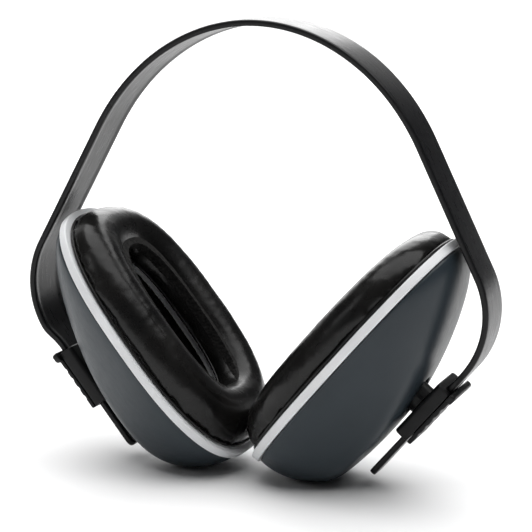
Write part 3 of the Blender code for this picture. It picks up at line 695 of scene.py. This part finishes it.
# Foam liners
# Each cup is lined with a block of charcoal open-cell polyurethane foam, cut and pressed in by hand, dished
# over the ear and hollowed behind to clear the boss.
def charcoal_foam():
    """Matt charcoal foam: open cells as a relief of the distance to the nearest scattered point."""
    made, nodes, links, shader = principled("charcoal_foam", Specular_IOR_Level=0.15, Roughness=0.95)
    place = nodes.new("ShaderNodeTexCoord")
    cells = nodes.new("ShaderNodeTexVoronoi")
    cells.inputs["Scale"].default_value = 1100
    relief = nodes.new("ShaderNodeBump")
    relief.inputs["Strength"].default_value, relief.inputs["Distance"].default_value = 0.8, 0.0004
    links.new(place.outputs["Object"], cells.inputs["Vector"])
    links.new(cells.outputs["Distance"], relief.inputs["Height"])
    links.new(relief.outputs["Normal"], shader.inputs["Normal"])
    low, high = (0.010, 0.010, 0.010), (0.030, 0.029, 0.028)
    varied(nodes, links, place, 700, low, high, shader.inputs["Base Color"], colour=True)
    return made


foam_material = charcoal_foam()
for side in ("left", "right"):
    frame["nodes"][f"foam_liner_{side}"].material_slots[0].material = foam_material
    frame["nodes"][f"cushion_foam_{side}"].material_slots[0].material = foam_material

# Seal plates
# A pale grey ABS ring snaps into the rim of each cup and holds the cushion. Its rounded edge shows as a light
# line between the two.
RING_HALF_LENGTH, RING_HALF_WIDTH = 54.2 * MM, 37.6 * MM
RING_FRONT, RING_BACK = -3.5 * MM, -0.3 * MM
RING_EDGE, RING_INNER_EDGE = 0.55 * MM, 0.5 * MM
RING_BAND = 19.8 * MM
RIM_POWER, RIM_COLUMNS = 2.5, 200


def make_ring(side):
    """A rounded section (inset, out) carried round the superellipse of the rim, closed on itself."""
    corners = [(0, RING_FRONT), (0, RING_BACK), (RING_BAND, RING_BACK), (RING_BAND, RING_FRONT)]
    section = rounded_loop(corners, [RING_EDGE] * 2 + [RING_INNER_EDGE] * 2, steps=7)
    rows = []
    for inset, out in section:
        across, up = superellipse(RING_HALF_LENGTH - inset, RING_HALF_WIDTH - inset, RIM_POWER, RIM_COLUMNS)
        rows.append(np.stack([np.full_like(up, out), across, up], -1))
    return surface(f"seal_ring_{side}", to_row(np.array(rows), side))


def pale_plastic():
    """Pale grey plastic: a faint drift in colour, an uneven satin and a fine grain."""
    made, nodes, links, shader = principled("pale_grey_abs", Specular_IOR_Level=0.5)
    place = noise_bump(nodes, links, shader, 3000, 0.15, 0.00005)
    colour = shader.inputs["Base Color"]
    varied(nodes, links, place, 60, (0.70, 0.71, 0.72), (0.78, 0.79, 0.80), colour, colour=True)
    varied(nodes, links, place, 300, 0.36, 0.5, shader.inputs["Roughness"])
    return made


ring_material = pale_plastic()
for side in ("left", "right"):
    ring = make_ring(side)
    ring.data.set_sharp_from_angle(angle=math.radians(50))
    ring.data.materials.append(ring_material)
    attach(ring, f"{side}_cup")
    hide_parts(f"seal_plate_{side}")

# Ear cushions
# A ring of foam wrapped in thin glossy black vinyl, welded to a stiff backplate round its outer edge and
# round the ear opening. The vinyl is stretched over the foam, so it swells between the welds and puckers.
CUSHION_HALF_LENGTH, CUSHION_HALF_WIDTH = 51.8 * MM, 36.4 * MM
CUSHION_BACK, CUSHION_FRONT = -3.8 * MM, -15.0 * MM
EAR_HALF_LENGTH, EAR_HALF_WIDTH = 30.0 * MM, 14.0 * MM
SHOULDER_BOTTOM, SHOULDER_TOP, SHOULDER_SIDE = 18.0 * MM, 10.0 * MM, 7.0 * MM  # how far in it rounds there
MIDDLE_FULLNESS = 1.8 * MM  # how much prouder its crown stands halfway along than at its ends
CUSHION_COLUMNS = 180
SIDE_POWER_GAIN = 0.6  # the outline's power grows by this much from the weld to the crown
WELD_STEP = 0.9 * MM  # the height of the welded edge over the plate
WELD_RADIUS, EAR_WELD_RADIUS = 0.6 * MM, 0.5 * MM
EAR_WELD_OUT, EAR_WELD_HEIGHT = 0.2 * MM, 1.0 * MM
CLOTH_START_SMALLER = 0.5 * MM
CLOTH_PRESSURE, CLOTH_STEPS = 400.0, 20
CLOTH_MASS = 0.001  # kg at each point
CLOTH_STIFFNESS, CLOTH_BENDING = 1.0, 0.01
CLOTH_CAP = 1.4 * MM  # the furthest that the stretched vinyl may move from where it starts
CLOTH_VOXEL = 2.4 * MM
CLOTH_HELD = 1.3 * MM  # the vinyl is held from the plate up to this height


def cushion_rows(deflate):
    """The pillow round the ear in the side frame: rows run from the outer weld over the crown to the opening.

    Outside the crown the section is near a quarter ellipse that reaches further in at the ends than at the
    sides. Inside it is near a quarter ellipse that turns down to the opening. The back is flat.
    """
    rows = []
    depth = CUSHION_BACK - CUSHION_FRONT - deflate
    for angle in np.linspace(0, math.pi / 2, 16):
        drawn = 1 - math.cos(angle)
        half_length = CUSHION_HALF_LENGTH - deflate - (SHOULDER_TOP + SHOULDER_BOTTOM) / 2 * drawn
        half_width = CUSHION_HALF_WIDTH - deflate - SHOULDER_SIDE * drawn
        centre = (SHOULDER_BOTTOM - SHOULDER_TOP) / 2 * drawn
        power = RIM_POWER + SIDE_POWER_GAIN * drawn
        across, up = superellipse(half_length, half_width, power, CUSHION_COLUMNS, centre)
        fuller = MIDDLE_FULLNESS * np.clip(1 - (up / CUSHION_HALF_LENGTH) ** 2, 0, 1)
        out = CUSHION_BACK - WELD_STEP - (depth - WELD_STEP + fuller) * math.sin(angle) ** 0.86
        rows.append(np.stack([out, across, up], -1))
    crown = rows[-1]
    inner = superellipse(EAR_HALF_LENGTH + deflate, EAR_HALF_WIDTH + deflate, RIM_POWER, CUSHION_COLUMNS)
    inner = np.stack([np.full(CUSHION_COLUMNS, CUSHION_BACK - WELD_STEP), *inner], -1)
    for angle in np.linspace(0, math.pi / 2, 12)[1:]:
        share = math.sin(angle) ** 1.1
        row = crown + (inner - crown) * share
        row[:, 0] = crown[:, 0] + (inner[:, 0] - crown[:, 0]) * (1 - math.cos(angle) ** 0.85)
        rows.append(row)
    inner_back, outer_back = rows[-1].copy(), rows[0].copy()
    inner_back[:, 0] = outer_back[:, 0] = CUSHION_BACK
    rows += [inner_back + (outer_back - inner_back) * share for share in (0, 0.3, 0.7, 1)]
    return np.array(rows)


def applied(piece):
    """The mesh a piece has with its modifiers, which are then removed from it."""
    bpy.context.view_layer.update()
    depsgraph = bpy.context.evaluated_depsgraph_get()
    mesh = bpy.data.meshes.new_from_object(piece.evaluated_get(depsgraph))
    piece.modifiers.clear()
    return mesh


def swell(pad, side):
    """Inflates a pad's vinyl as cloth, with its back held on the plate, and applies the result.

    The pad is remeshed in even voxels first. Each point's move is its length times cap * tanh(length / cap)
    over its length, so that none goes further than the cap.
    """
    origin, out, _, _ = side_frame(side)
    remesh = pad.modifiers.new("even", "REMESH")
    remesh.mode, remesh.voxel_size = "VOXEL", CLOTH_VOXEL
    pad.data = applied(pad)
    rest = mesh_points(pad.data)
    held = np.flatnonzero((rest - origin) @ out > CUSHION_BACK - CLOTH_HELD)
    pad.vertex_groups.new(name="back").add(held.tolist(), 1.0, "REPLACE")
    cloth = pad.modifiers.new("vinyl", "CLOTH")
    vinyl_cloth = cloth.settings
    vinyl_cloth.use_pressure = True
    vinyl_cloth.uniform_pressure_force = CLOTH_PRESSURE
    vinyl_cloth.vertex_group_mass = "back"
    vinyl_cloth.mass = CLOTH_MASS
    vinyl_cloth.tension_stiffness = vinyl_cloth.compression_stiffness = CLOTH_STIFFNESS
    vinyl_cloth.shear_stiffness = CLOTH_STIFFNESS
    vinyl_cloth.bending_stiffness = CLOTH_BENDING
    vinyl_cloth.tension_damping = vinyl_cloth.compression_damping = vinyl_cloth.shear_damping = 0
    vinyl_cloth.bending_damping = vinyl_cloth.air_damping = 0
    vinyl_cloth.effector_weights.gravity = 0
    cloth.point_cache.frame_start, cloth.point_cache.frame_end = 1, CLOTH_STEPS
    for step in range(1, CLOTH_STEPS + 1):
        bpy.context.scene.frame_set(step)
    swollen = applied(pad)
    moved = mesh_points(swollen)
    bpy.context.scene.frame_set(1)
    move = moved - rest
    length = np.linalg.norm(move, axis=1, keepdims=True)
    share = np.minimum(1, CLOTH_CAP * np.tanh(length / CLOTH_CAP) / np.maximum(length, 1e-9))
    swollen.vertices.foreach_set("co", (rest + move * share).astype(np.float32).ravel())
    swollen.update()
    pad.data = swollen


def glossy_vinyl():
    """Thin black vinyl: glossy, with a fine leather grain, soft puckers, and duller patches of wear."""
    made, nodes, links, shader = principled("black_vinyl", Specular_IOR_Level=0.26)
    place = nodes.new("ShaderNodeTexCoord")
    pucker = nodes.new("ShaderNodeTexNoise")
    pucker.inputs["Scale"].default_value, pucker.inputs["Detail"].default_value = 120, 2
    grain = nodes.new("ShaderNodeTexVoronoi")
    grain.inputs["Scale"].default_value = 1500
    coarse, fine = nodes.new("ShaderNodeBump"), nodes.new("ShaderNodeBump")
    coarse.inputs["Strength"].default_value, coarse.inputs["Distance"].default_value = 0.35, 0.0008
    fine.inputs["Strength"].default_value, fine.inputs["Distance"].default_value = 0.12, 0.00005
    links.new(place.outputs["Object"], pucker.inputs["Vector"])
    links.new(place.outputs["Object"], grain.inputs["Vector"])
    links.new(pucker.outputs["Fac"], coarse.inputs["Height"])
    links.new(grain.outputs["Distance"], fine.inputs["Height"])
    links.new(coarse.outputs["Normal"], fine.inputs["Normal"])
    links.new(fine.outputs["Normal"], shader.inputs["Normal"])
    low, high = (0.004, 0.004, 0.004), (0.009, 0.0085, 0.008)
    varied(nodes, links, place, 70, low, high, shader.inputs["Base Color"], colour=True)
    varied(nodes, links, place, 110, 0.20, 0.33, shader.inputs["Roughness"])
    return made


def weld_cord(name, half_length, half_width, out, radius, side):
    """A thin bead carried round a superellipse: a circle of the given radius in each cross plane."""
    across, up = superellipse(half_length, half_width, RIM_POWER, RIM_COLUMNS)
    line = np.stack([across, up], -1)
    along = np.roll(line, -1, 0) - np.roll(line, 1, 0)
    along /= np.linalg.norm(along, axis=1, keepdims=True)
    normal = np.stack([along[:, 1], -along[:, 0]], -1)
    turn = np.linspace(0, 2 * math.pi, 11)[:-1]
    rows = line[None] + normal[None] * (radius * np.cos(turn))[:, None, None]
    outs = np.broadcast_to((out + radius * np.sin(turn))[:, None, None], (*rows.shape[:2], 1))
    return surface(name, to_row(np.concatenate([outs, rows], -1), side))


vinyl = glossy_vinyl()
for side in ("left", "right"):
    pad = surface(f"vinyl_pad_{side}", to_row(cushion_rows(CLOTH_START_SMALLER), side))
    swell(pad, side)
    finer = pad.modifiers.new("finer", "SUBSURF")
    finer.levels = finer.render_levels = 1
    pad.data = applied(pad)
    pad.data.shade_smooth()
    outer_weld = weld_cord(
        f"outer_weld_{side}", CUSHION_HALF_LENGTH - WELD_RADIUS, CUSHION_HALF_WIDTH - WELD_RADIUS,
        CUSHION_BACK - WELD_RADIUS, WELD_RADIUS, side,
    )
    inner_weld = weld_cord(
        f"ear_weld_{side}", EAR_HALF_LENGTH + EAR_WELD_OUT, EAR_HALF_WIDTH + EAR_WELD_OUT,
        CUSHION_BACK - EAR_WELD_HEIGHT, EAR_WELD_RADIUS, side,
    )
    pad.data.materials.clear()
    for piece in (pad, outer_weld, inner_weld):
        piece.data.materials.append(vinyl)
        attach(piece, f"{side}_cup")
    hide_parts(f"ear_cushion_{side}")

# Cushion backplates
# Under each cushion's vinyl is a stiff ring, moulded in black polypropylene, that clips into the seal plate.
# The vinyl is welded to its outer and inner edges.
backplate_material = moulded_black("black_polypropylene", (0.018, 0.018, 0.019), (0.028, 0.028, 0.030), 0.5)
for side in ("left", "right"):
    frame["nodes"][f"cushion_backplate_{side}"].material_slots[0].material = backplate_material
